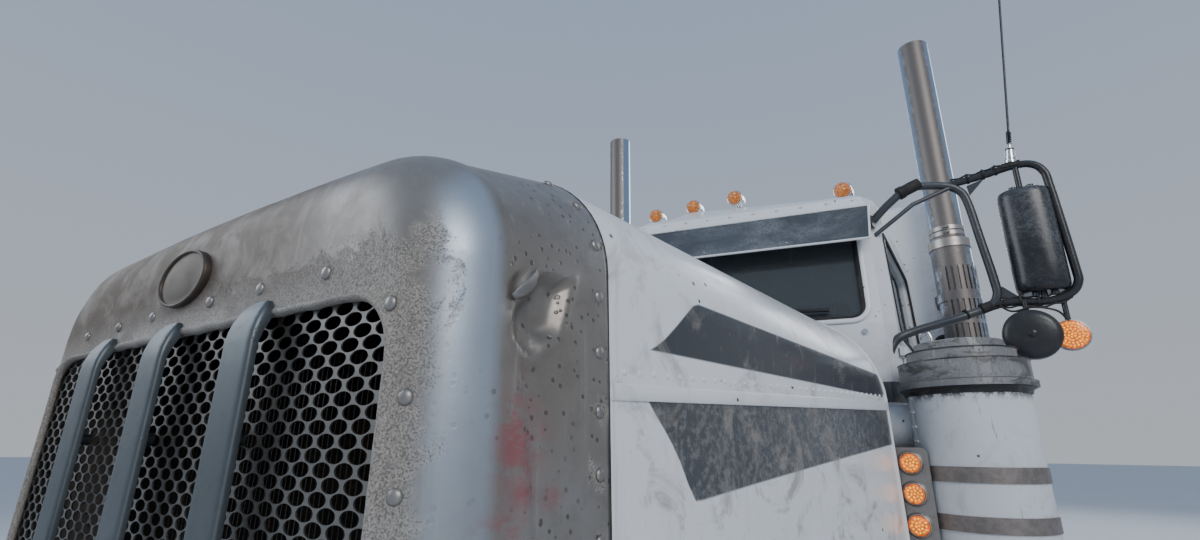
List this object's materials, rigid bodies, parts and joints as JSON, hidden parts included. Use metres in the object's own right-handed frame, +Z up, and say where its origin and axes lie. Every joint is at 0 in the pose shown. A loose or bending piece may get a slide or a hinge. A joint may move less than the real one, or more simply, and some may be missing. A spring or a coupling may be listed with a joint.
{
  "type": "long-nose tractor truck with sleeper",
  "caption": "Long-nose road tractor with a sleeper: tilting hood, opening cab doors, steered front wheels, rolling drive wheels and a rocking coupling plate.",
  "frame": {"origin": "on the ground under the middle of the overall box", "axes": "+X towards the driver's side (the truck's own left), the nose points along -Y, +Z up"},
  "size_m": [3.0298, 8.42, 4.057],
  "materials": {
    "chassis_paint": "dull, oily and dusty",
    "bright_metal": "polished, hazed by road film",
    "cast_steel": "rough, greasy, some rust",
    "engine_paint": "satin, dusty",
    "white_paint": "gloss, streaked with road dirt",
    "bare_aluminium": "dull, pitted and scuffed",
    "window_glass": "dark tinted",
    "amber_lens": "clear amber",
    "dark_plastic": "grained",
    "seat_cover": "soft, worn",
    "black_rubber": "dull",
    "black_coat": "satin black, chipped",
    "tyre_rubber": "dusty",
    "wheel_alloy": "brushed, dusty"
  },
  "bodies": {
    "root": {"frame_rails": "chassis_paint", "crossmembers": "chassis_paint", "front_bumper": "bright_metal", "front_axle": "cast_steel", "front_springs": "cast_steel", "drive_axles": "cast_steel", "rear_suspension": "cast_steel", "drive_shafts": "cast_steel", "engine_block": "engine_paint", "radiator": "engine_paint", "cab_shell": "white_paint", "cab_roof": "white_paint", "windshield": "window_glass", "sun_visor": "bare_aluminium", "roof_lights": "amber_lens", "dashboard": "dark_plastic", "steering_wheel": "dark_plastic", "cab_seats": "seat_cover", "sleeper_shell": "white_paint", "sleeper_boot": "black_rubber", "air_cleaners": "white_paint", "lamp_bars": "bare_aluminium", "exhaust_stacks": "bright_metal", "mirrors": "black_coat", "antenna": "black_coat", "fuel_tanks": "bare_aluminium", "step_boxes": "bare_aluminium", "fifth_wheel_base": "cast_steel", "mud_flaps": "black_rubber"},
    "hood": {"hood_panel": "white_paint", "grille_surround": "bare_aluminium", "grille_screen": "bare_aluminium", "grille_bars": "bare_aluminium", "emblem_plate": "bare_aluminium", "fender_left": "white_paint", "fender_right": "white_paint", "headlamps": "bright_metal"},
    "door_left": {"door_left": "white_paint", "door_glass_left": "window_glass"},
    "knuckle_left": {"knuckle_left": "cast_steel"},
    "front_wheel_left": {"tyre_front_left": "tyre_rubber", "wheel_front_left": "wheel_alloy"},
    "door_right": {"door_right": "white_paint", "door_glass_right": "window_glass"},
    "knuckle_right": {"knuckle_right": "cast_steel"},
    "front_wheel_right": {"tyre_front_right": "tyre_rubber", "wheel_front_right": "wheel_alloy"},
    "drive_wheels_forward_left": {"tyres_forward_left": "tyre_rubber", "wheels_forward_left": "wheel_alloy"},
    "drive_wheels_forward_right": {"tyres_forward_right": "tyre_rubber", "wheels_forward_right": "wheel_alloy"},
    "drive_wheels_rear_left": {"tyres_rear_left": "tyre_rubber", "wheels_rear_left": "wheel_alloy"},
    "drive_wheels_rear_right": {"tyres_rear_right": "tyre_rubber", "wheels_rear_right": "wheel_alloy"},
    "coupling_plate": {"fifth_wheel_plate": "cast_steel"}
  },
  "joints": [
    {"name": "hood_tilt", "type": "hinge", "parent": "root", "child": "hood", "pos_m": [0, -4.02, 0.74], "axis": [1, 0, 0], "range_deg": [0, 70]},
    {"name": "door_left_hinge", "type": "hinge", "parent": "root", "child": "door_left", "pos_m": [0.962, -2.0545, 1.5], "axis": [0, 0, -1], "range_deg": [0, 55]},
    {"name": "door_right_hinge", "type": "hinge", "parent": "root", "child": "door_right", "pos_m": [-0.962, -2.0545, 1.5], "axis": [0, 0, 1], "range_deg": [0, 55]},
    {"name": "steer_left", "type": "hinge", "parent": "root", "child": "knuckle_left", "pos_m": [0.875, -3.43, 0.525], "axis": [0, 0, 1], "range_deg": [-35, 35]},
    {"name": "steer_right", "type": "hinge", "parent": "root", "child": "knuckle_right", "pos_m": [-0.875, -3.43, 0.525], "axis": [0, 0, 1], "range_deg": [-35, 35]},
    {"name": "spin_front_left", "type": "hinge", "parent": "knuckle_left", "child": "front_wheel_left", "pos_m": [1.04, -3.43, 0.525], "axis": [1, 0, 0], "continuous": true},
    {"name": "spin_front_right", "type": "hinge", "parent": "knuckle_right", "child": "front_wheel_right", "pos_m": [-1.04, -3.43, 0.525], "axis": [1, 0, 0], "continuous": true},
    {"name": "spin_forward_left", "type": "hinge", "parent": "root", "child": "drive_wheels_forward_left", "pos_m": [0.91, 2.2595, 0.525], "axis": [1, 0, 0], "continuous": true},
    {"name": "spin_forward_right", "type": "hinge", "parent": "root", "child": "drive_wheels_forward_right", "pos_m": [-0.91, 2.2595, 0.525], "axis": [1, 0, 0], "continuous": true},
    {"name": "spin_rear_left", "type": "hinge", "parent": "root", "child": "drive_wheels_rear_left", "pos_m": [0.91, 3.5805, 0.525], "axis": [1, 0, 0], "continuous": true},
    {"name": "spin_rear_right", "type": "hinge", "parent": "root", "child": "drive_wheels_rear_right", "pos_m": [-0.91, 3.5805, 0.525], "axis": [1, 0, 0], "continuous": true},
    {"name": "plate_rock", "type": "hinge", "parent": "root", "child": "coupling_plate", "pos_m": [0, 2.69, 1.12], "axis": [1, 0, 0], "range_deg": [-12, 12]}
  ],
  "couplings": [
    {"joint": "steer_right", "follows": "steer_left", "ratio": 1}
  ]
}
